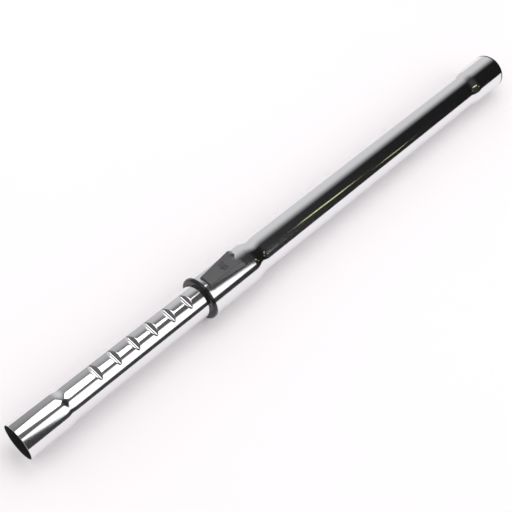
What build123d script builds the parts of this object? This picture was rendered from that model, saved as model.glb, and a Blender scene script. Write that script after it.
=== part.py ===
"""Telescopic vacuum cleaner tube, lying along X with the tool end at -X and the release button up."""
import os

from build123d import *

# Driving dimensions, mm
sheet = 0.7                   # wall of the outer tube
inner_sheet = 0.6             # wall of the inner tube
inner_radius = 16.0           # outside of the inner tube
hose_bore_radius = 17.75      # inside of the liner, takes a 35 mm spigot
tool_flare = 1.0              # how much the tool end is widened
bush_wall = 1.0
sleeve_wall = 3.55
liner_wall = 1.25
ring_proud = 0.3              # how far the black ring stands out of the collar
rest_flat = 6.0               # width of the flat below the ring

tool_length = 40.0            # straight part of the tool end
tool_taper = 7.0
first_groove_gap = 31.0       # from the tool end's taper to the first groove
collar_length = 57.0          # straight part of the collar behind the ring
collar_taper = 10.0
main_length = 334.0           # outer tube between its two tapers
socket_taper = 10.0
socket_length = 42.0          # straight part of the hose end, without the liner's rim
swage_round = 7.0             # rounding of the swaged tapers

groove_pitch = 20.0
pitches_in = 7                # steps left for pushing in from the modelled setting
pitches_out = 5               # steps left for pulling out from the modelled setting
groove_depth = 2.0
groove_radius = 2.8           # curve of a groove along the tube

ring_to_lock = 23.5           # from the front of the ring to the locking bar
ring_length = 3.6
ring_front_round = 2.0
ring_back_round = 0.8
sleeve_end_gap = 5.0          # from the sleeve's end to the collar's taper
rim_length = 2.3              # rim of the liner, in front of the hose end
rim_round = 0.6

bar_span = 8.0                # locking bar, across the tube
pin_radius = 1.2

button_travel = 3.0
button_gap = 3.2              # from the ring to the button's front
button_length = 40.6
button_front_half = 6.9
button_rear_half = 9.9
button_draft = 1.2            # how much narrower the top is, on each side
button_front_height = 1.9     # above the collar
button_rear_height = 6.2
button_front_lean = 0.8
button_rear_lean = 6.0        # how far the rear face reaches back at its foot
button_round = 0.7
scoop_radius = 5.4            # thumb scoop in the rear face
scoop_depth = 2.0
leg_thickness = 1.5
leg_below_slot = 1.2
leg_beside_slot = 1.4
leg_root = 0.4                # how far a leg runs into the button's roof
lip_reach = 1.2
lip_height = 1.1
tab_thickness = 1.2
window_margin = 1.0
window_round = 1.0

mark_count = 3
mark_from_front = 17.0
mark_pitch = 2.1
mark_width = 0.6
mark_height = 0.45
mark_half = 4.2
mark_bend = 2.0               # half width of the pointed middle
mark_lean = 1.6               # length of the point
mark_droop = 0.4              # how far the ends lie behind the bends

spring_radius = 1.25          # to the middle of the wire
wire_radius = 0.2
spring_turns = 7
spring_length = 8.6
spring_floor = 0.4            # sleeve left under the spring

seal_width = 4.0
seal_height = 1.6
bush_length = 27.0
bush_lip = 2.5
lug_radius = 2.2

# Clearances, mm
seat_gap = 0.1                # pieces that stay together
slide_gap = 0.15              # inner tube in the sleeve, bar in its well
loose_gap = 0.3               # pieces that move past each other
leg_gap = 0.6                 # button's legs over the inner tube
stop_gap = 2.0                # bush to sleeve at full reach

# Radii
tool_radius = inner_radius + tool_flare
hollow_radius = inner_radius - inner_sheet
bush_bore = inner_radius + seat_gap
bush_radius = bush_bore + bush_wall
outer_radius = bush_radius + loose_gap + sheet
sleeve_bore = inner_radius + slide_gap
sleeve_radius = sleeve_bore + sleeve_wall
collar_radius = sleeve_radius + seat_gap + sheet
ring_radius = collar_radius + ring_proud
liner_radius = hose_bore_radius + liner_wall
socket_radius = liner_radius + seat_gap + sheet

# Places along the tube, from the tool end
neck_at = tool_length + tool_taper
first_groove_at = neck_at + first_groove_gap
lock_at = first_groove_at + pitches_in * groove_pitch
ring_at = lock_at - ring_to_lock
collar_at = ring_at + ring_length
collar_end = collar_at + collar_length
main_at = collar_end + collar_taper
main_end = main_at + main_length
socket_at = main_end + socket_taper
socket_end = socket_at + socket_length
overall = socket_end + rim_length
sleeve_end = collar_end - sleeve_end_gap
seal_at = sleeve_end - 2 * seal_width
bush_at = sleeve_end + pitches_out * groove_pitch + stop_gap
inner_end = bush_at + bush_length - bush_lip
lug_at = bush_at + bush_length / 2
groove_places = [first_groove_at + step * groove_pitch for step in range(pitches_in + pitches_out + 1)]

# Lock and button: heights with the floor at zero, places from the tool end
axis_height = (ring_radius**2 - (rest_flat / 2) ** 2) ** 0.5
tube_axis = Axis((0, 0, axis_height), (1, 0, 0))
collar_top = axis_height + collar_radius
groove_floor = axis_height + inner_radius - groove_depth
groove_centre = groove_floor + groove_radius
nose_radius = groove_radius - loose_gap
nose_bottom = groove_floor + loose_gap
bar_lift = groove_depth + loose_gap
slot_half = pin_radius + loose_gap
leg_bottom = axis_height + inner_radius + leg_gap
pin_height = leg_bottom + leg_below_slot + slot_half
bar_top = pin_height + pin_radius
leg_inner = bar_span / 2 + loose_gap
leg_outer = leg_inner + leg_thickness
leg_front = lock_at - slot_half - leg_beside_slot
leg_rear = lock_at + button_travel + slot_half + leg_beside_slot
spring_height = axis_height + sleeve_bore + spring_floor + spring_radius + wire_radius
spring_at = leg_front - tab_thickness - loose_gap - spring_length
tab_at = spring_at + spring_length
window_front = tab_at - button_travel - window_margin
window_rear = leg_rear + window_margin
button_at = collar_at + button_gap
button_end = button_at + button_length
crest_at = button_end - button_rear_lean
ramp = (button_rear_height - button_front_height) / (crest_at - button_at - button_front_lean)

os.makedirs("parts", exist_ok=True)


def along(distance):
    """X of a place given as its distance from the tool end."""
    return distance - overall / 2


def at(distance, radius):
    """Point of a turned outline."""
    return (along(distance), axis_height + radius)


def rod_outline(steps):
    """Half outline of a solid turned rod: steps are (distance, radius)."""
    edge = [at(distance, radius) for distance, radius in steps]
    FilletPolyline(*edge, radius=swage_round)
    Polyline(edge[-1], (edge[-1][0], axis_height), (edge[0][0], axis_height), edge[0])


def ring_outline(start, end, low, high):
    """Section of a plain ring."""
    Polyline(at(start, low), at(start, high), at(end, high), at(end, low), close=True)


def roof(distance):
    """Underside of the button's roof, which clears the lifted bar."""
    return bar_top + bar_lift + loose_gap + ramp * (distance - lock_at + nose_radius)


inner_steps = [(0, tool_radius), (tool_length, tool_radius), (neck_at, inner_radius), (inner_end, inner_radius)]
outer_steps = [
    (collar_at, collar_radius),
    (collar_end, collar_radius),
    (main_at, outer_radius),
    (main_end, outer_radius),
    (socket_at, socket_radius),
    (socket_end, socket_radius),
]

# Outer tube with the button's window
with BuildPart() as outer_tube:
    with BuildSketch(Plane.XZ):
        with BuildLine():
            rod_outline(outer_steps)
        make_face()
    revolve(axis=tube_axis)
    with BuildSketch(Plane.XZ):
        with BuildLine():
            rod_outline([(distance, radius - sheet) for distance, radius in outer_steps])
        make_face()
    revolve(axis=tube_axis, mode=Mode.SUBTRACT)
    with BuildSketch(Plane.XY.offset(axis_height)):
        with Locations((along((window_front + window_rear) / 2), 0)):
            RectangleRounded(window_rear - window_front, 2 * (leg_outer + loose_gap), window_round)
    extrude(amount=collar_radius, mode=Mode.SUBTRACT)
outer_tube.part.label = "outer_tube"

# Hollow of the inner tube: the pressed grooves stand in it as bumps, one wall deeper than outside
with BuildPart() as inner_hollow:
    with BuildSketch(Plane.XZ):
        with BuildLine():
            rod_outline([(distance, radius - inner_sheet) for distance, radius in inner_steps])
        make_face()
    revolve(axis=tube_axis)
    with BuildSketch(Plane.XZ):
        with Locations(*[(along(place), groove_centre) for place in groove_places]):
            Circle(groove_radius + inner_sheet)
    extrude(amount=inner_radius, both=True, mode=Mode.SUBTRACT)

# Inner tube with its row of pressed grooves and the two holes for the bush
with BuildPart() as inner_tube:
    with BuildSketch(Plane.XZ):
        with BuildLine():
            rod_outline(inner_steps)
        make_face()
    revolve(axis=tube_axis)
    with BuildSketch(Plane.XZ):
        with Locations(*[(along(place), groove_centre) for place in groove_places]):
            Circle(groove_radius)
    extrude(amount=inner_radius, both=True, mode=Mode.SUBTRACT)
    add(inner_hollow.part, mode=Mode.SUBTRACT)
    with BuildSketch(Plane.XZ):
        with Locations((along(lug_at), axis_height)):
            Circle(lug_radius + seat_gap)
    extrude(amount=tool_radius, both=True, mode=Mode.SUBTRACT)
inner_tube.part.label = "inner_tube"

# Guide sleeve: its front is the black ring at the collar's mouth
with BuildPart() as guide_sleeve:
    with BuildSketch(Plane.XZ) as sleeve_outline:
        with BuildLine():
            Polyline(
                at(ring_at, sleeve_bore),
                at(ring_at, ring_radius),
                at(collar_at, ring_radius),
                at(collar_at, sleeve_radius),
                at(sleeve_end, sleeve_radius),
                at(sleeve_end, sleeve_bore),
                close=True,
            )
        make_face()
        ring_corners = sleeve_outline.vertices().group_by(Axis.Y)[-1].sort_by(Axis.X)
        fillet(ring_corners[0], ring_front_round)
        fillet(ring_corners[1], ring_back_round)
    revolve(axis=tube_axis)
    # flat below, on which the tube lies without rolling
    with BuildSketch(Plane.XY):
        with Locations((along((ring_at + collar_at) / 2), 0)):
            Rectangle(2 * ring_length, 2 * rest_flat)
    extrude(amount=-ring_proud, mode=Mode.SUBTRACT)
    # groove for the seal
    with BuildSketch(Plane.XZ):
        with BuildLine():
            ring_outline(seal_at, seal_at + seal_width, hollow_radius, sleeve_bore + seal_height)
        make_face()
    revolve(axis=tube_axis, mode=Mode.SUBTRACT)
    # pockets for the button's legs
    pocket_front = leg_front - button_travel - loose_gap
    pocket_rear = leg_rear + loose_gap
    pocket_inner = leg_inner - slide_gap
    pocket_outer = leg_outer + lip_reach + loose_gap
    with BuildSketch(Plane.XY.offset(leg_bottom - loose_gap)):
        for side in (-1, 1):
            with Locations((along((pocket_front + pocket_rear) / 2), side * (pocket_inner + pocket_outer) / 2)):
                Rectangle(pocket_rear - pocket_front, pocket_outer - pocket_inner)
    extrude(amount=sleeve_radius, mode=Mode.SUBTRACT)
    # well of the locking bar
    with BuildSketch(Plane.XY.offset(axis_height)):
        with Locations((along(lock_at), 0)):
            Rectangle(2 * (nose_radius + slide_gap), bar_span + 2 * slide_gap)
    extrude(amount=sleeve_radius, mode=Mode.SUBTRACT)
    # channel of the spring
    with BuildSketch(Plane.XY.offset(spring_height - spring_radius - wire_radius - seat_gap)):
        with Locations((along((spring_at + lock_at) / 2), 0)):
            Rectangle(lock_at - spring_at, 2 * (spring_radius + wire_radius + loose_gap))
    extrude(amount=sleeve_radius, mode=Mode.SUBTRACT)
guide_sleeve.part.label = "guide_sleeve"

# Locking bar: a round nose in the groove and a pin at each side
with BuildPart() as lock_bar:
    with BuildSketch(Plane.XZ):
        nose_centre = nose_bottom + nose_radius
        with Locations((along(lock_at), nose_centre)):
            Circle(nose_radius)
        with Locations((along(lock_at), (nose_centre + bar_top) / 2)):
            Rectangle(2 * nose_radius, bar_top - nose_centre)
    extrude(amount=bar_span / 2, both=True)
    with BuildSketch(Plane.XZ):
        with Locations((along(lock_at), pin_height)):
            Circle(pin_radius)
    extrude(amount=leg_outer, both=True)
lock_bar.part.label = "lock_bar"

# Release button: a wedge with a thumb scoop, hollow below, on two slotted legs
with BuildPart() as release_button:
    foot_height = axis_height + sleeve_bore
    crest_height = collar_top + button_rear_height
    for height, narrower in ((foot_height, 0), (crest_height, button_draft)):
        with BuildSketch(Plane.XY.offset(height)):
            with BuildLine():
                Polyline(
                    (along(button_at), narrower - button_front_half),
                    (along(button_end), narrower - button_rear_half),
                    (along(button_end), button_rear_half - narrower),
                    (along(button_at), button_front_half - narrower),
                    close=True,
                )
            make_face()
    loft()
    with BuildSketch(Plane.XZ):
        with BuildLine():
            Polyline(
                (along(button_at), foot_height),
                (along(button_at), collar_top),
                (along(button_at + button_front_lean), collar_top + button_front_height),
                (along(crest_at), crest_height),
                (along(button_end), collar_top),
                (along(button_end), foot_height),
                close=True,
            )
        make_face()
    extrude(amount=button_rear_half, both=True, mode=Mode.INTERSECT)
    # scoop along the sloping rear face
    scoop_plane = Plane(
        origin=(along(crest_at), 0, crest_height),
        x_dir=(button_rear_height, 0, button_rear_lean),
        z_dir=(button_rear_lean, 0, -button_rear_height),
    )
    with BuildSketch(scoop_plane):
        with Locations((scoop_radius - scoop_depth, 0)):
            Circle(scoop_radius)
    extrude(amount=button_length, both=True, mode=Mode.SUBTRACT)
    # rounded edges of the sloping top
    top_face = release_button.faces().filter_by(GeomType.PLANE).sort_by(Axis.Z)[-1]
    fillet(top_face.edges(), button_round)
    # underside over the collar
    with BuildSketch(Plane.YZ):
        with Locations((0, axis_height)):
            Circle(collar_radius + loose_gap)
    extrude(amount=overall, both=True, mode=Mode.SUBTRACT)
    # hollow for the legs and the bar
    with BuildSketch(Plane.XZ):
        with BuildLine():
            Polyline(
                (along(window_front), axis_height),
                (along(window_front), roof(window_front)),
                (along(window_rear), roof(window_rear)),
                (along(window_rear), axis_height),
                close=True,
            )
        make_face()
    extrude(amount=leg_outer, both=True, mode=Mode.SUBTRACT)
    # legs with snap lips
    for side in (-1, 1):
        with BuildSketch(Plane.XZ.offset(-side * leg_inner)):
            with BuildLine():
                Polyline(
                    (along(leg_front), leg_bottom),
                    (along(leg_front), roof(leg_front) + leg_root),
                    (along(leg_rear), roof(leg_rear) + leg_root),
                    (along(leg_rear), leg_bottom),
                    close=True,
                )
            make_face()
        extrude(amount=-side * leg_thickness)
        with BuildSketch(Plane.XY.offset(leg_bottom)):
            with Locations((along((leg_front + leg_rear) / 2), side * (leg_outer + lip_reach / 2))):
                Rectangle(leg_rear - leg_front, lip_reach)
        extrude(amount=lip_height)
    # slanted slots that lift the bar's pins
    with BuildSketch(Plane.XZ):
        slot_ends = [(along(lock_at), pin_height), (along(lock_at + button_travel), pin_height + bar_lift)]
        with Locations(*slot_ends):
            Circle(slot_half)
        make_hull()
    extrude(amount=leg_outer + lip_reach, both=True, mode=Mode.SUBTRACT)
    # tab that the spring pushes on
    with BuildSketch(Plane.XY.offset(spring_height - spring_radius)):
        with Locations((along(tab_at + tab_thickness / 2), 0)):
            Rectangle(tab_thickness, 2 * spring_radius)
    extrude(until=Until.NEXT)
    # arrow-shaped grip marks that point the way it slides
    ramp_plane = Plane(
        origin=(along(button_at + button_front_lean), 0, collar_top + button_front_height),
        x_dir=(1, 0, ramp),
        z_dir=(-ramp, 0, 1),
    )
    with BuildSketch(ramp_plane):
        for mark in range(mark_count):
            tip = mark_from_front + mark * mark_pitch
            bend = tip + mark_lean
            end = bend + mark_droop
            front_edge = [(end, -mark_half), (bend, -mark_bend), (tip, 0), (bend, mark_bend), (end, mark_half)]
            back_edge = [(place + mark_width, side) for place, side in reversed(front_edge)]
            with BuildLine():
                Polyline(*front_edge, *back_edge, close=True)
            make_face()
    extrude(amount=mark_height)
release_button.part.label = "release_button"

# Return spring, along the tube
with BuildPart() as return_spring:
    coil_length = spring_length - 2 * wire_radius - 2 * seat_gap
    with BuildLine() as coil:
        Helix(
            pitch=coil_length / spring_turns,
            height=coil_length,
            radius=spring_radius,
            center=(along(spring_at + wire_radius + seat_gap), 0, spring_height),
            direction=(1, 0, 0),
        )
    with BuildSketch(Plane(origin=coil.line @ 0, z_dir=coil.line % 0)):
        Circle(wire_radius)
    sweep(path=coil.line, is_frenet=True)
return_spring.part.label = "return_spring"

# Seal in the sleeve
with BuildPart() as wiper_seal:
    with BuildSketch(Plane.XZ):
        with BuildLine():
            seal_top = sleeve_bore + seal_height - seat_gap
            ring_outline(seal_at + seat_gap, seal_at + seal_width - seat_gap, sleeve_bore, seal_top)
        make_face()
    revolve(axis=tube_axis)
wiper_seal.part.label = "wiper_seal"

# Bush on the hidden end of the inner tube, with a lip at the tube's end and two lugs in its holes
with BuildPart() as stop_bush:
    with BuildSketch(Plane.XZ):
        with BuildLine():
            ring_outline(bush_at, inner_end, bush_bore, bush_radius)
        make_face()
        with BuildLine():
            ring_outline(inner_end, bush_at + bush_length, hollow_radius, bush_radius)
        make_face()
    revolve(axis=tube_axis)
    for side in (-1, 1):
        with BuildSketch(Plane.XZ.offset(-side * hollow_radius)):
            with Locations((along(lug_at), axis_height)):
                Circle(lug_radius)
        extrude(amount=-side * (bush_bore - hollow_radius + bush_wall / 2))
stop_bush.part.label = "stop_bush"

# Liner of the hose end, with the dark rim
with BuildPart() as socket_liner:
    with BuildSketch(Plane.XZ) as liner_outline:
        with BuildLine():
            ring_outline(socket_at + seat_gap, socket_end, hose_bore_radius, liner_radius)
        make_face()
        with BuildLine():
            ring_outline(socket_end, overall, hose_bore_radius, socket_radius)
        make_face()
        rim_corners = liner_outline.vertices().group_by(Axis.Y)[-1].sort_by(Axis.X)
        fillet(rim_corners[-1], rim_round)
    revolve(axis=tube_axis)
socket_liner.part.label = "socket_liner"

export_step(outer_tube.part, "parts/outer_tube.step")
export_step(inner_tube.part, "parts/inner_tube.step")
export_step(guide_sleeve.part, "parts/guide_sleeve.step")
export_step(lock_bar.part, "parts/lock_bar.step")
export_step(release_button.part, "parts/release_button.step")
export_step(return_spring.part, "parts/return_spring.step")
export_step(wiper_seal.part, "parts/wiper_seal.step")
export_step(stop_bush.part, "parts/stop_bush.step")
export_step(socket_liner.part, "parts/socket_liner.step")
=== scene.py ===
"""Looks of a telescopic vacuum cleaner tube, laid out as a Blender add-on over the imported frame."""
import math

import bmesh
import bpy
from bpy.props import FloatProperty, FloatVectorProperty, IntProperty, PointerProperty
from mathutils import Matrix, Vector


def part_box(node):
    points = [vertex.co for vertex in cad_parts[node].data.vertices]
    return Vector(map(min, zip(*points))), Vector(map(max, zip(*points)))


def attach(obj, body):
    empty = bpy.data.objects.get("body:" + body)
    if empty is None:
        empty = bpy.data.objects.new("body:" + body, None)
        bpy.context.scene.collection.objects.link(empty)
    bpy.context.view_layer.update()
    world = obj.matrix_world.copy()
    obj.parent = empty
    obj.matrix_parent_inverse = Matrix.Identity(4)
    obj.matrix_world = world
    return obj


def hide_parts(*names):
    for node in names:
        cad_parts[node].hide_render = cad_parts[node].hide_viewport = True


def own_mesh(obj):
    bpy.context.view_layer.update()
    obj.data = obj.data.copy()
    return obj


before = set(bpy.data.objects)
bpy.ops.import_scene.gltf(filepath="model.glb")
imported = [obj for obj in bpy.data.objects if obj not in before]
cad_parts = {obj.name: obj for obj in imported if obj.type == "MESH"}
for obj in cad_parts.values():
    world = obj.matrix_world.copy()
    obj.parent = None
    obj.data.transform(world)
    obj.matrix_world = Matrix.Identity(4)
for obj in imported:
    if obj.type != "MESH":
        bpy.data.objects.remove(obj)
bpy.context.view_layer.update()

# Where the tubes lie: height of their common axis, and X of the tool end, from which places are measured
AXIS = sum(corner.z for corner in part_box("outer_tube")) / 2
TOOL_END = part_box("inner_tube")[0].x

bl_info = {
    "name": "Telescopic Vacuum Tube",
    "version": (1, 0, 0),
    "blender": (4, 5, 0),
    "location": "View3D > Sidebar > Tube",
    "description": "Builds the chromed tubes, finishes and studio of a telescopic vacuum cleaner tube",
    "category": "Object",
}


# Property helpers
def length(name, description, default):
    """A size in metres."""
    return FloatProperty(name=name, description=description, default=default, unit="LENGTH", precision=5)


def turn(name, description, default):
    """An angle, given in degrees."""
    return FloatProperty(name=name, description=description, default=math.radians(default), unit="ROTATION")


def colour(name, description, default):
    """A linear colour."""
    return FloatVectorProperty(name=name, description=description, default=default, subtype="COLOR", min=0, max=1)


def share(name, description, default):
    """A plain number."""
    return FloatProperty(name=name, description=description, default=default)


class TUBE_PG_outer(bpy.types.PropertyGroup):
    """Sizes of the outer tube, with places measured from the tool end."""

    radius: length("Radius", "Outside of the long run", 0.0181)
    wall: length("Wall", "Thickness of the sheet", 0.0007)
    collar_radius: length("Collar radius", "Outside of the widened front", 0.0205)
    collar_at: length("Collar start", "Front edge of the collar", 0.1981)
    collar_end: length("Collar end", "Where the collar starts to narrow", 0.2551)
    run_at: length("Run start", "Where the long run starts", 0.2651)
    run_end: length("Run end", "Where the hose end starts to widen", 0.5991)
    socket_radius: length("Hose end radius", "Outside of the hose end", 0.0198)
    socket_at: length("Hose end start", "Where the hose end is at its full width", 0.6091)
    socket_end: length("Hose end edge", "Edge of the sheet behind the dark rim", 0.6511)
    swage: length("Swage rounding", "Curve at each change of width", 0.028)
    edge: length("Edge rounding", "Rounding of the cut edges", 0.0002)
    window_front: length("Window front", "Front of the opening below the button", 0.2096)
    window_rear: length("Window rear", "Rear of the opening below the button", 0.2249)
    window_half: length("Window half width", "Half of the opening across the tube", 0.0061)


class TUBE_PG_inner(bpy.types.PropertyGroup):
    """Sizes of the inner tube, with places measured from the tool end."""

    radius: length("Radius", "Outside of the sliding run", 0.016)
    wall: length("Wall", "Thickness of the sheet", 0.0006)
    tool_radius: length("Tool end radius", "Outside of the widened tool end", 0.017)
    tool_end: length("Tool end length", "Straight part of the tool end", 0.0408)
    neck_at: length("Neck", "Where the sliding run starts", 0.0462)
    end: length("End", "Hidden end of the tube", 0.3766)
    swage: length("Swage rounding", "Curve at the change of width", 0.024)
    edge: length("Edge rounding", "Rounding of the cut edges", 0.0002)
    groove_first: length("First groove", "Middle of the first groove", 0.078)
    groove_pitch: length("Groove pitch", "From one groove to the next", 0.02)
    groove_count: IntProperty(name="Grooves", description="Number of pressed grooves", default=13, min=1)
    groove_depth: length("Groove depth", "How deep a groove is pressed", 0.002)
    groove_half: length("Groove half width", "From a groove's middle to the end of its rounded shoulder", 0.004)
    groove_soft: length("Groove shoulder", "Softness of a groove's long edges", 0.0009)
    groove_reach: length("Groove reach", "Half of the stretch that a groove changes", 0.0046)
    hole_at: length("Lug holes", "Middle of the two holes for the bush's lugs", 0.3656)
    hole_radius: length("Lug hole radius", "Radius of the holes for the bush's lugs", 0.0023)


class TUBE_PG_spring(bpy.types.PropertyGroup):
    """Sizes of the return spring, with places measured from the tool end."""

    fixed_end: length("Fixed end", "Where the spring stands on the sleeve", 0.205)
    coil_at: length("Coil start", "Middle of the wire at the fixed end", 0.2053)
    coil_length: length("Coil length", "From the first to the last middle of the wire", 0.008)
    height: length("Height", "Middle of the coil above the tubes' axis", 0.018)
    radius: length("Radius", "To the middle of the wire", 0.00125)
    wire: length("Wire radius", "Half of the wire's thickness", 0.0002)
    turns: IntProperty(name="Turns", description="Number of turns", default=7, min=1)
    keep: share("Shortest share", "Share of the length that is left when the button is pushed", 0.65)


class TUBE_PG_finish(bpy.types.PropertyGroup):
    """Colours and surface settings."""

    chrome: colour("Chrome", "Tint of the chrome", (0.80, 0.81, 0.85))
    chrome_dull: colour("Chrome film", "Tint where the chrome is handled", (0.74, 0.75, 0.79))
    chrome_roughness: share("Chrome roughness", "Roughness of clean chrome", 0.03)
    # Inside: painted shade, a near-black colour that stands in for the shade inside the tubes rather than the bare
    # steel's own colour.
    inside: colour("Inside", "Bare inside of the tubes", (0.012, 0.012, 0.013))
    black: colour("Black plastic", "Ring, bush and rim", (0.006, 0.006, 0.0065))
    grey: colour("Grey plastic", "Release button", (0.044, 0.043, 0.046))
    # Grip marks: painted shade, a darker colour on the raised marks that stands in for the shade of their relief.
    mark: colour("Grip marks", "Raised marks on the button", (0.012, 0.012, 0.013))
    top_at: length("Button top start", "Where the button's sloping top starts", 0.2021)
    top_height: length("Button top height", "Height of that place above the tubes' axis", 0.0224)
    top_slope: share("Button top slope", "Rise of the button's top for each length", 0.1272)
    steel: colour("Steel", "Locking bar and spring", (0.52, 0.52, 0.53))
    rubber: colour("Rubber", "Wiper seal", (0.02, 0.02, 0.02))


class TUBE_PG_stage(bpy.types.PropertyGroup):
    """Floor, lights and camera."""

    floor: colour("Floor", "Pale floor", (0.955, 0.93, 0.942))
    fill: colour("Far fill", "Light of the room's far side on everything matt", (0.9, 0.885, 0.892))
    near_fill: colour("Near fill", "Light of the viewer's side on everything matt", (1.0, 0.99, 0.995))
    key_level: share("Key softbox", "Brightness of the softbox over the tube", 2.7)
    near_level: share("Near softbox", "Brightness of the softbox on the viewer's side", 1.35)
    streak_level: share("Strip lamps", "Brightness of the two thin strips", 2.0)
    key_lean: turn("Key lean", "Lean of the key softbox towards the viewer", -15.0)
    near_lean: turn("Near lean", "Lean of the near softbox towards the viewer", 44.0)
    panel_distance: length("Softbox distance", "From the tube to each softbox", 1.4)
    lens: FloatProperty(name="Lens", description="Focal length in millimetres on a 36 mm sensor", default=61.94)
    eye: FloatVectorProperty(
        name="Eye", description="Place of the camera", default=(-0.45844, -0.27558, 0.66901), subtype="TRANSLATION"
    )
    target: FloatVectorProperty(
        name="Target", description="Point in the middle of the view", default=(-0.05924, -0.00129, 0.02058),
        subtype="TRANSLATION",
    )
    roll: turn("Roll", "Turn of the camera about its view", 11.02)


# Shader maths
class Wire:
    """One output of a node tree that adds, multiplies and so on like a number."""

    def __init__(self, tree, out=None):
        self.tree = tree
        self.out = out

    def feed(self, slot, value):
        """Link a wire to an input, or set a plain value on it."""
        if isinstance(value, Wire):
            self.tree.links.new(value.out, slot)
        else:
            slot.default_value = value

    def node(self, kind, output=0, settings=None, **inputs):
        """Any node of this tree, fed by name, as a wire from one of its outputs."""
        made = self.tree.nodes.new(kind)
        for key, value in (settings or {}).items():
            setattr(made, key, value)
        for key, value in inputs.items():
            self.feed(made.inputs[key.replace("_", " ")], value)
        return Wire(self.tree, made.outputs[output])

    def sum(self, operation, *terms):
        """A maths node."""
        made = self.tree.nodes.new("ShaderNodeMath")
        made.operation = operation
        for slot, value in zip(made.inputs, terms):
            self.feed(slot, value)
        return Wire(self.tree, made.outputs[0])

    def __add__(self, other):
        return self.sum("ADD", self, other)

    def __radd__(self, other):
        return self.sum("ADD", other, self)

    def __sub__(self, other):
        return self.sum("SUBTRACT", self, other)

    def __rsub__(self, other):
        return self.sum("SUBTRACT", other, self)

    def __mul__(self, other):
        return self.sum("MULTIPLY", self, other)

    def __rmul__(self, other):
        return self.sum("MULTIPLY", other, self)

    def __truediv__(self, other):
        return self.sum("DIVIDE", self, other)

    def __rtruediv__(self, other):
        return self.sum("DIVIDE", other, self)

    def __pow__(self, other):
        return self.sum("POWER", self, other)

    def ramp(self, low, high):
        """Zero below low, one above high, smooth between."""
        made = self.tree.nodes.new("ShaderNodeMapRange")
        made.interpolation_type = "SMOOTHSTEP"
        for slot, value in zip(made.inputs, (self, low, high, 0.0, 1.0)):
            self.feed(slot, value)
        return Wire(self.tree, made.outputs[0])

    def blend(self, first, second):
        """A colour between two, by this wire."""
        made = self.tree.nodes.new("ShaderNodeMix")
        made.data_type = "RGBA"
        for slot, value in zip((made.inputs[0], made.inputs[6], made.inputs[7]), (self, first, second)):
            self.feed(slot, value)
        return Wire(self.tree, made.outputs[2])


def opaque(rgb):
    """A colour with full alpha."""
    return (*rgb, 1.0)


def new_material(name):
    """An empty principled material: (material, its tree's wire, the shader)."""
    material = bpy.data.materials.new(name)
    material.use_nodes = True
    shader = material.node_tree.nodes["Principled BSDF"]
    return material, Wire(material.node_tree), shader


def stretched(wire, scale):
    """Object coordinates stretched along each axis."""
    place = wire.node("ShaderNodeTexCoord", "Object")
    return wire.node("ShaderNodeMapping", Vector=place, Scale=scale)


def noise(wire, scale, fineness, detail=3.0):
    """Noise over the stretched object coordinates."""
    return wire.node("ShaderNodeTexNoise", Vector=stretched(wire, scale), Scale=fineness, Detail=detail)


def chrome_material(finish):
    """Polished chrome with a faint handled film and the drawing lines of the tube."""
    material, wire, shader = new_material("chrome")
    film = noise(wire, (6.0, 40.0, 40.0), 1.0).ramp(0.5, 0.72)
    lines = noise(wire, (4.0, 900.0, 900.0), 1.0, 1.0)
    wave = noise(wire, (10.0, 45.0, 45.0), 1.0, 1.0)
    wire.feed(shader.inputs["Base Color"], film.blend(opaque(finish.chrome), opaque(finish.chrome_dull)))
    wire.feed(shader.inputs["Roughness"], finish.chrome_roughness + film * 0.03 + lines * 0.015)
    bump = wire.node("ShaderNodeBump", Strength=0.1, Distance=0.00004, Height=wave + lines * 0.01)
    wire.feed(shader.inputs["Normal"], bump)
    shader.inputs["Metallic"].default_value = 1.0
    return material


def painted_shade_inside_material(finish):
    """Dull inside of a tube with painted shade: its near-black colour stands in for the shade inside the tube,
    with a random dusty tone.
    """
    material, wire, shader = new_material("tube_inside_painted_shade")
    dust = noise(wire, (30.0, 120.0, 120.0), 1.0)
    wire.feed(shader.inputs["Base Color"], dust.blend(opaque(finish.inside), (0.03, 0.03, 0.03, 1.0)))
    wire.feed(shader.inputs["Roughness"], 0.45 + dust * 0.2)
    return material


def plastic_material(name, rgb, roughness, grain):
    """Moulded plastic with a fine grain and slightly worn gloss."""
    material, wire, shader = new_material(name)
    patches = noise(wire, (60.0, 60.0, 60.0), 1.0)
    fine = noise(wire, (2600.0, 2600.0, 2600.0), 1.0, 2.0)
    lighter = tuple(channel * 1.35 + 0.004 for channel in rgb)
    wire.feed(shader.inputs["Base Color"], (patches * 0.6 + fine * 0.4).blend(opaque(rgb), opaque(lighter)))
    wire.feed(shader.inputs["Roughness"], roughness - 0.06 + patches * 0.12)
    bump = wire.node("ShaderNodeBump", Strength=grain, Distance=0.00005, Height=fine)
    wire.feed(shader.inputs["Normal"], bump)
    return material


def button_material(finish):
    """Grey moulded plastic; the grip marks, which stand above the button's sloping top, get painted shade: a
    darker colour for the shade of their relief.
    """
    material = plastic_material("grey_plastic", finish.grey, 0.3, 0.2)
    wire, shader = Wire(material.node_tree), material.node_tree.nodes["Principled BSDF"]
    plain = Wire(wire.tree, shader.inputs["Base Color"].links[0].from_socket)
    place = wire.node("ShaderNodeTexCoord", "Object")
    parts = wire.node("ShaderNodeSeparateXYZ", "X", Vector=place)
    x, z = (Wire(wire.tree, parts.out.node.outputs[axis]) for axis in "XZ")
    # Mask of what stands above the sloping top: there the grip marks get their painted shade.
    above = z - (AXIS + finish.top_height) - (x - (TOOL_END + finish.top_at)) * finish.top_slope
    marks = above.ramp(0.0001, 0.0003)
    wire.feed(shader.inputs["Base Color"], marks.blend(plain, opaque(finish.mark)))
    return material


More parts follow.
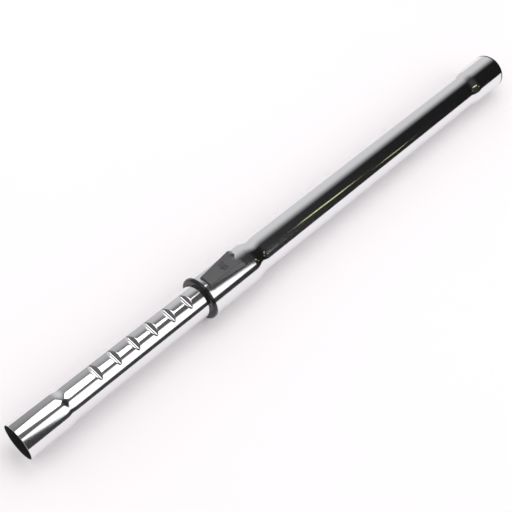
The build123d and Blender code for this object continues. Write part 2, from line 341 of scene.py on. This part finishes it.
def steel_material(finish):
    """Plain drawn steel."""
    material, wire, shader = new_material("steel")
    lines = noise(wire, (300.0, 2500.0, 2500.0), 1.0)
    darker = tuple(channel * 0.8 for channel in finish.steel)
    wire.feed(shader.inputs["Base Color"], lines.blend(opaque(darker), opaque(finish.steel)))
    wire.feed(shader.inputs["Roughness"], 0.25 + lines * 0.15)
    shader.inputs["Metallic"].default_value = 1.0
    return material


# Mesh helpers
def rounded(corners):
    """A closed outline of (place, radius, rounding) corners as points with every corner rounded."""
    points = []
    for index, (x, r, rounding) in enumerate(corners):
        here = Vector((x, r))
        back = Vector(corners[index - 1][:2]) - here
        ahead = Vector(corners[(index + 1) % len(corners)][:2]) - here
        corner = back.angle(ahead)
        if rounding <= 0 or corner > math.pi - 1e-4:
            points.append(here)
            continue
        reach = rounding / math.tan(corner / 2)
        start, stop = here + back.normalized() * reach, here + ahead.normalized() * reach
        centre = here + (back.normalized() + ahead.normalized()).normalized() * rounding / math.sin(corner / 2)
        swing = (start - centre).angle_signed(stop - centre)
        steps = max(8, round(abs(swing) / math.radians(4)))
        for step in range(steps + 1):
            points.append(centre + Matrix.Rotation(-swing * step / steps, 2) @ (start - centre))
    return points


def outline_edges(bm, points):
    """Lay an outline of (place, radius) points above the axis and close it with edges."""
    verts = [bm.verts.new((TOOL_END + x, 0.0, AXIS + r)) for x, r in points]
    return [bm.edges.new((a, b)) for a, b in zip(verts, verts[1:] + verts[:1])]


def spin_round(bm, turns):
    """Spin an outline about the tubes' axis in stretches of (angle, steps), and close the seam."""
    geometry = bm.verts[:] + bm.edges[:]
    for angle, steps in turns:
        spun = bmesh.ops.spin(
            bm, geom=geometry, cent=(0, 0, AXIS), axis=(1, 0, 0), angle=angle, steps=steps, use_duplicate=False
        )
        geometry = spun["geom_last"]
    bmesh.ops.remove_doubles(bm, verts=bm.verts, dist=1e-6)
    bmesh.ops.recalc_face_normals(bm, faces=bm.faces)


def add_rows(bm, start, stop, cuts, low, high):
    """Cut rows into the band between two places, on the skin between two heights over the axis."""
    band = []
    for edge in bm.edges:
        ends = sorted(v.co.x - TOOL_END for v in edge.verts)
        skin = min(math.hypot(v.co.y, v.co.z - AXIS) for v in edge.verts)
        if abs(ends[0] - start) < 1e-5 and abs(ends[1] - stop) < 1e-5 and low < skin < high:
            band.append(edge)
    bmesh.ops.subdivide_edges(bm, edges=band, cuts=cuts, use_grid_fill=True)


def finish_piece(bm, name, body, node, materials):
    """Turn a bmesh into a smooth object that stands for a CAD node."""
    mesh = bpy.data.meshes.new(name)
    bm.to_mesh(mesh)
    bm.free()
    mesh.shade_smooth()
    mesh.set_sharp_from_angle(angle=math.radians(50))
    for material in materials:
        mesh.materials.append(material)
    piece = bpy.data.objects.new(name, mesh)
    bpy.context.scene.collection.objects.link(piece)
    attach(piece, body)
    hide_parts(node)
    return piece


def dress(node, material):
    """Give a CAD node that stays its finish."""
    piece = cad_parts[node]
    piece.data.materials.clear()
    piece.data.materials.append(material)


class TUBE_OT_outer(bpy.types.Operator):
    """Make the chromed outer tube with its collar, hose end and button window"""

    bl_idname = "tube.outer"
    bl_label = "Outer Tube"

    def execute(self, context):
        size = context.scene.tube_outer
        steps = [
            (size.collar_at, size.collar_radius, size.edge),
            (size.collar_end, size.collar_radius, size.swage),
            (size.run_at, size.radius, size.swage),
            (size.run_end, size.radius, size.swage),
            (size.socket_at, size.socket_radius, size.swage),
            (size.socket_end, size.socket_radius, size.edge),
        ]
        inside = [(x, r - size.wall, rounding) for x, r, rounding in reversed(steps)]
        bm = bmesh.new()
        edges = outline_edges(bm, rounded(steps + inside))
        long_edges = [e for e in edges if e.calc_length() > 0.03]
        bmesh.ops.subdivide_edges(bm, edges=long_edges, cuts=11)
        spin_round(bm, [(math.pi / 2, 40)] * 4)
        self.cut_window(bm, size)
        chrome = bpy.data.materials["chrome"]
        finish_piece(bm, "outer_tube_chrome", "outer", "outer_tube", [chrome])
        return {"FINISHED"}

    def cut_window(self, bm, size):
        """Open the window through both skins of the collar and close its edge."""
        front, rear, half = TOOL_END + size.window_front, TOOL_END + size.window_rear, size.window_half
        planes = [((front, 0, 0), (1, 0, 0)), ((rear, 0, 0), (1, 0, 0))]
        planes += [((0, -half, 0), (0, 1, 0)), ((0, half, 0), (0, 1, 0))]
        for point, normal in planes:
            near = [
                f for f in bm.faces
                if f.calc_center_median().z > AXIS + size.radius * 0.8
                and any(front - 0.004 < v.co.x < rear + 0.004 for v in f.verts)
            ]
            near += [f for f in bm.faces if f not in near and self.spans(f, front, rear)]
            pieces = set(near)
            for f in near:
                pieces.update(f.edges)
                pieces.update(f.verts)
            bmesh.ops.bisect_plane(bm, geom=list(pieces), plane_co=point, plane_no=normal, dist=1e-7)
        gone = []
        for f in bm.faces:
            middle = f.calc_center_median()
            if front < middle.x < rear and abs(middle.y) < half and middle.z > AXIS:
                gone.append(f)
        bmesh.ops.delete(bm, geom=gone, context="FACES")
        rims = [e for e in bm.edges if e.is_boundary]
        bmesh.ops.bridge_loops(bm, edges=rims)
        bmesh.ops.recalc_face_normals(bm, faces=bm.faces)

    def spans(self, face, front, rear):
        """Does a face on the upper side reach across the window?"""
        xs = [v.co.x for v in face.verts]
        return min(xs) < rear and max(xs) > front and face.calc_center_median().z > AXIS + 0.012


class TUBE_OT_inner(bpy.types.Operator):
    """Make the chromed inner tube with its row of pressed grooves"""

    bl_idname = "tube.inner"
    bl_label = "Inner Tube"

    def execute(self, context):
        size = context.scene.tube_inner
        grooves = [size.groove_first + step * size.groove_pitch for step in range(size.groove_count)]
        stops = [place + side * size.groove_reach for place in grooves for side in (-1, 1)]
        steps = [(0.0, size.tool_radius, size.edge), (size.tool_end, size.tool_radius, size.swage)]
        steps += [(size.neck_at, size.radius, size.swage)]
        steps += [(place, size.radius, 0.0) for place in stops]
        steps += [(size.end, size.radius, size.edge)]
        inside = [(x, r - size.wall, rounding) for x, r, rounding in reversed(steps)]
        bm = bmesh.new()
        outline_edges(bm, rounded(steps + inside))
        bmesh.ops.rotate(
            bm, verts=bm.verts, cent=(0, 0, AXIS), matrix=Matrix.Rotation(math.radians(-38), 3, "X")
        )
        spin_round(bm, [(math.radians(76), 76), (math.radians(284), 52)])
        middle = size.radius - size.wall / 2
        for place in grooves:
            add_rows(bm, place - size.groove_reach, place + size.groove_reach, 27, middle, size.tool_radius)
            add_rows(bm, place - size.groove_reach, place + size.groove_reach, 9, 0, middle)
        for v in bm.verts:
            self.press(v, size, grooves, middle)
        self.cut_holes(bm, size)
        # Faces of the inner skin get the inside material with its painted shade; the pressed grooves' outer skin
        # stays chrome.
        for f in bm.faces:
            x, r = self.place(f.calc_center_median())
            outside = size.tool_radius if x < size.tool_end else size.radius
            f.material_index = 1 if x > 0.0004 and r < outside - 0.0004 else 0
        for f in bm.faces:
            if f.material_index == 1 and f.normal.z * (f.calc_center_median().z - AXIS) > 0 and self.on_top(f):
                f.material_index = 0
        materials = [bpy.data.materials["chrome"], bpy.data.materials["tube_inside_painted_shade"]]
        finish_piece(bm, "inner_tube_chrome", "inner", "inner_tube", materials)
        return {"FINISHED"}

    def place(self, point):
        """Distance from the tool end and from the axis."""
        return point.x - TOOL_END, math.hypot(point.y, point.z - AXIS)

    def on_top(self, face):
        """Is this face part of a pressed groove's outer skin?"""
        return face.normal.z > 0 and face.calc_center_median().z > AXIS

    def cut_holes(self, bm, size):
        """Open the two round holes for the bush's lugs through both skins and close their edges."""
        middle = Vector((TOOL_END + size.hole_at, 0.0, AXIS))
        margin = size.hole_radius * 1.3
        ends = [Vector((side, 0, 0)) for side in (-1, 1)]
        sides = [Vector((math.cos(turn), 0, math.sin(turn))) for turn in (math.tau * n / 24 for n in range(24))]
        for distance, ways in ((margin, ends), (size.hole_radius, sides)):
            pieces = set()
            for f in bm.faces:
                reach = f.calc_center_median() - middle
                across = max(v.co.x for v in f.verts) - min(v.co.x for v in f.verts)
                if abs(reach.x) < margin + across / 2 - 1e-6 and abs(reach.z) < margin * 1.5:
                    pieces.update([f, *f.edges, *f.verts])
            pieces = list(pieces)
            for way in ways:
                cut = bmesh.ops.bisect_plane(
                    bm, geom=pieces, plane_co=middle + way * distance, plane_no=way, dist=1e-7
                )
                pieces = cut["geom"]
        gone = []
        for f in bm.faces:
            reach = f.calc_center_median() - middle
            if math.hypot(reach.x, reach.z) < size.hole_radius:
                gone.append(f)
        bmesh.ops.delete(bm, geom=gone, context="FACES")
        for side in (-1, 1):
            rims = [e for e in bm.edges if e.is_boundary and e.verts[0].co.y * side > 0]
            bmesh.ops.bridge_loops(bm, edges=rims)
        bmesh.ops.recalc_face_normals(bm, faces=bm.faces)

    def press(self, vert, size, grooves, middle):
        """Lower a point of the upper side to a groove's floor, with a soft shoulder."""
        x, r = self.place(vert.co)
        rise = vert.co.z - AXIS
        if rise <= 0:
            return
        offset = min((x - place for place in grooves), key=abs)
        if abs(offset) >= size.groove_half:
            return
        skin = size.radius if r > middle else size.radius - size.wall
        bell = math.cos(math.pi / 2 * offset / size.groove_half) ** 2
        floor = skin - size.groove_depth * bell
        soft = max(size.groove_soft * bell, 1e-5)
        share_of_floor = min(max(0.5 + (rise - floor) / (2 * soft), 0.0), 1.0)
        lowered = rise + (floor - rise) * share_of_floor - soft * share_of_floor * (1 - share_of_floor)
        vert.co.z = AXIS + lowered


class TUBE_OT_spring(bpy.types.Operator):
    """Make the return spring's coil"""

    bl_idname = "tube.spring"
    bl_label = "Return Spring"

    def execute(self, context):
        size = context.scene.tube_spring
        start = Vector((TOOL_END + size.coil_at, 0.0, AXIS + size.height))
        bm = bmesh.new()
        end = Matrix.Translation(start + Vector((0, 0, size.radius))) @ Matrix.Rotation(math.pi / 2, 4, "X")
        bmesh.ops.create_circle(bm, segments=8, radius=size.wire, matrix=end)
        steps = 20 * size.turns
        bmesh.ops.spin(
            bm, geom=bm.verts[:] + bm.edges[:], cent=start, axis=(1, 0, 0), angle=math.tau * size.turns,
            dvec=(size.coil_length / steps, 0, 0), steps=steps, use_duplicate=False,
        )
        bmesh.ops.holes_fill(bm, edges=[e for e in bm.edges if e.is_boundary])
        bmesh.ops.recalc_face_normals(bm, faces=bm.faces)
        piece = finish_piece(bm, "return_spring_coil", "outer", "return_spring", [bpy.data.materials["steel"]])
        anchor = (TOOL_END + size.fixed_end, 0.0, AXIS + size.height)
        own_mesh(piece)
        return {"FINISHED"}


class TUBE_OT_finishes(bpy.types.Operator):
    """Make the materials and dress the plastic, steel and rubber pieces"""

    bl_idname = "tube.finishes"
    bl_label = "Finishes"

    def execute(self, context):
        finish = context.scene.tube_finish
        chrome_material(finish)
        painted_shade_inside_material(finish)
        black = plastic_material("black_plastic", finish.black, 0.2, 0.08)
        grey = button_material(finish)
        rubber = plastic_material("rubber", finish.rubber, 0.75, 0.3)
        steel = steel_material(finish)
        for node in ("guide_sleeve", "stop_bush", "socket_liner"):
            dress(node, black)
        dress("release_button", grey)
        dress("wiper_seal", rubber)
        dress("lock_bar", steel)
        return {"FINISHED"}


class TUBE_OT_stage(bpy.types.Operator):
    """Make the floor, the lights, the world and the camera"""

    bl_idname = "tube.stage"
    bl_label = "Stage"

    def execute(self, context):
        stage = context.scene.tube_stage
        self.make_floor(stage)
        white, lime = (1.0, 1.0, 1.0), (0.97, 1.0, 0.5)
        key = [(0.53, 0.16), (0.12, 0.57), (-0.36, -0.16), (0.05, -0.57)]
        near = [(-0.19, -0.6), (0.47, -0.56), (0.8, 0.5), (0.09, 0.58)]
        long_strip = [(0.894, -0.075), (0.926, -0.105), (1.116, 0.105), (1.084, 0.135)]
        short_strip = [(1.324, 0.435), (1.356, 0.405), (1.426, 0.485), (1.394, 0.515)]
        self.softbox("softbox_key", key, stage.key_lean, stage, stage.key_level, white)
        self.softbox("softbox_near", near, stage.near_lean, stage, stage.near_level, white)
        self.softbox("strip_long", long_strip, stage.near_lean, stage, stage.streak_level, lime)
        self.softbox("strip_short", short_strip, stage.near_lean, stage, stage.streak_level, lime)
        self.make_world(stage)
        self.make_camera(context, stage)
        return {"FINISHED"}

    def make_floor(self, stage):
        """A wide pale floor."""
        bm = bmesh.new()
        bmesh.ops.create_grid(bm, x_segments=1, y_segments=1, size=12.0)
        mesh = bpy.data.meshes.new("floor")
        bm.to_mesh(mesh)
        bm.free()
        material, wire, shader = new_material("floor")
        mottle = noise(wire, (3.0, 3.0, 3.0), 1.0)
        darker = tuple(channel * 0.985 for channel in stage.floor)
        wire.feed(shader.inputs["Base Color"], mottle.blend(opaque(darker), opaque(stage.floor)))
        shader.inputs["Roughness"].default_value = 0.9
        shader.inputs["Specular IOR Level"].default_value = 0.0
        mesh.materials.append(material)
        floor = bpy.data.objects.new("floor", mesh)
        bpy.context.scene.collection.objects.link(floor)

    def softbox(self, name, corners, lean, stage, level, tint):
        """A bright panel over the tube: its (along, across) corners lie in a plane that leans to the viewer."""
        lean_over = Matrix.Translation((0, 0, AXIS)) @ Matrix.Rotation(lean, 4, "X")
        bm = bmesh.new()
        corners = [bm.verts.new((x, -across, stage.panel_distance)) for x, across in corners]
        bm.faces.new(corners)
        bmesh.ops.transform(bm, matrix=lean_over, verts=bm.verts)
        mesh = bpy.data.meshes.new(name)
        bm.to_mesh(mesh)
        bm.free()
        material, wire, shader = new_material(name)
        shader.inputs["Base Color"].default_value = (0.0, 0.0, 0.0, 1.0)
        shader.inputs["Specular IOR Level"].default_value = 0.0
        shader.inputs["Emission Color"].default_value = opaque(tint)
        shader.inputs["Emission Strength"].default_value = level
        mesh.materials.append(material)
        panel = bpy.data.objects.new(name, mesh)
        panel.visible_camera = False
        bpy.context.scene.collection.objects.link(panel)

    def make_world(self, stage):
        """A room for the chrome to reflect, an even fill for what is matt, and white for the camera."""
        world = bpy.data.worlds.new("studio")
        bpy.context.scene.world = world
        world.use_nodes = True
        tree = world.node_tree
        wire = Wire(tree)
        way = wire.node("ShaderNodeTexCoord", "Generated")
        parts = wire.node("ShaderNodeSeparateXYZ", "X", Vector=way)
        x, y, z = (Wire(tree, parts.out.node.outputs[axis]) for axis in "XYZ")
        across = (y * y + z * z + 0.000001) ** 0.5
        side = y / across
        far_wall = (side + x.ramp(0.3, 0.6) * 0.2).ramp(0.2, 0.98) * (0.24 + x.ramp(0.1, 0.52) * 0.45)
        level = 0.006 + (1.0 - x.ramp(0.3, 0.75)) * 0.04 + far_wall
        glow = (1.0 - x.ramp(0.34, 0.5)) * (z / across).ramp(0.75, 0.97)
        room = glow.blend(level.blend((0.0, 0.0, 0.0, 1.0), (1.0, 0.995, 1.0, 1.0)), (0.13, 0.122, 0.112, 1.0))
        glossy = wire.node("ShaderNodeLightPath", "Is Glossy Ray")
        seen = Wire(tree, glossy.out.node.outputs["Is Camera Ray"])
        fill = side.ramp(0.8, -0.8).blend(opaque(stage.fill), opaque(stage.near_fill))
        sky = seen.blend(glossy.blend(fill, room), (0.96, 0.94, 0.95, 1.0))
        background = tree.nodes["Background"]
        wire.feed(background.inputs["Color"], sky)
        background.inputs["Strength"].default_value = 1.0

    def make_camera(self, context, stage):
        """The photograph's camera, turned with the tube so that the button is up."""
        data = bpy.data.cameras.new("camera")
        data.sensor_width = 36.0
        data.lens = stage.lens
        data.clip_start = 0.01
        eye = bpy.data.objects.new("camera", data)
        gaze = Vector(stage.target) - Vector(stage.eye)
        facing = gaze.to_track_quat("-Z", "Y").to_matrix() @ Matrix.Rotation(stage.roll, 3, "Z")
        eye.matrix_world = Matrix.Translation(stage.eye) @ facing.to_4x4()
        context.scene.collection.objects.link(eye)
        context.scene.camera = eye
        context.scene.view_settings.view_transform = "Standard"


class TUBE_PT_panel(bpy.types.Panel):
    """Sizes, colours and the operators in order"""

    bl_idname = "TUBE_PT_panel"
    bl_label = "Telescopic Tube"
    bl_space_type = "VIEW_3D"
    bl_region_type = "UI"
    bl_category = "Tube"

    def draw(self, context):
        for group in GROUPS:
            settings = getattr(context.scene, group)
            box = self.layout.box()
            box.label(text=group.removeprefix("tube_").title())
            for name in settings.__annotations__:
                box.prop(settings, name)
        for operator in OPERATORS:
            self.layout.operator(operator.bl_idname)


GROUPS = {
    "tube_outer": TUBE_PG_outer,
    "tube_inner": TUBE_PG_inner,
    "tube_spring": TUBE_PG_spring,
    "tube_finish": TUBE_PG_finish,
    "tube_stage": TUBE_PG_stage,
}
OPERATORS = (TUBE_OT_finishes, TUBE_OT_outer, TUBE_OT_inner, TUBE_OT_spring, TUBE_OT_stage)


def register():
    """Register the classes and hang the settings on the scene."""
    for cls in (*GROUPS.values(), *OPERATORS, TUBE_PT_panel):
        bpy.utils.register_class(cls)
    for name, group in GROUPS.items():
        setattr(bpy.types.Scene, name, PointerProperty(type=group))


def unregister():
    """Take the settings and classes away again."""
    for name in GROUPS:
        delattr(bpy.types.Scene, name)
    for cls in (TUBE_PT_panel, *OPERATORS, *GROUPS.values()):
        bpy.utils.unregister_class(cls)


def main():
    """Build everything in order."""
    register()
    bpy.ops.tube.finishes()
    bpy.ops.tube.outer()
    bpy.ops.tube.inner()
    bpy.ops.tube.spring()
    bpy.ops.tube.stage()


if __name__ == "__main__":
    main()
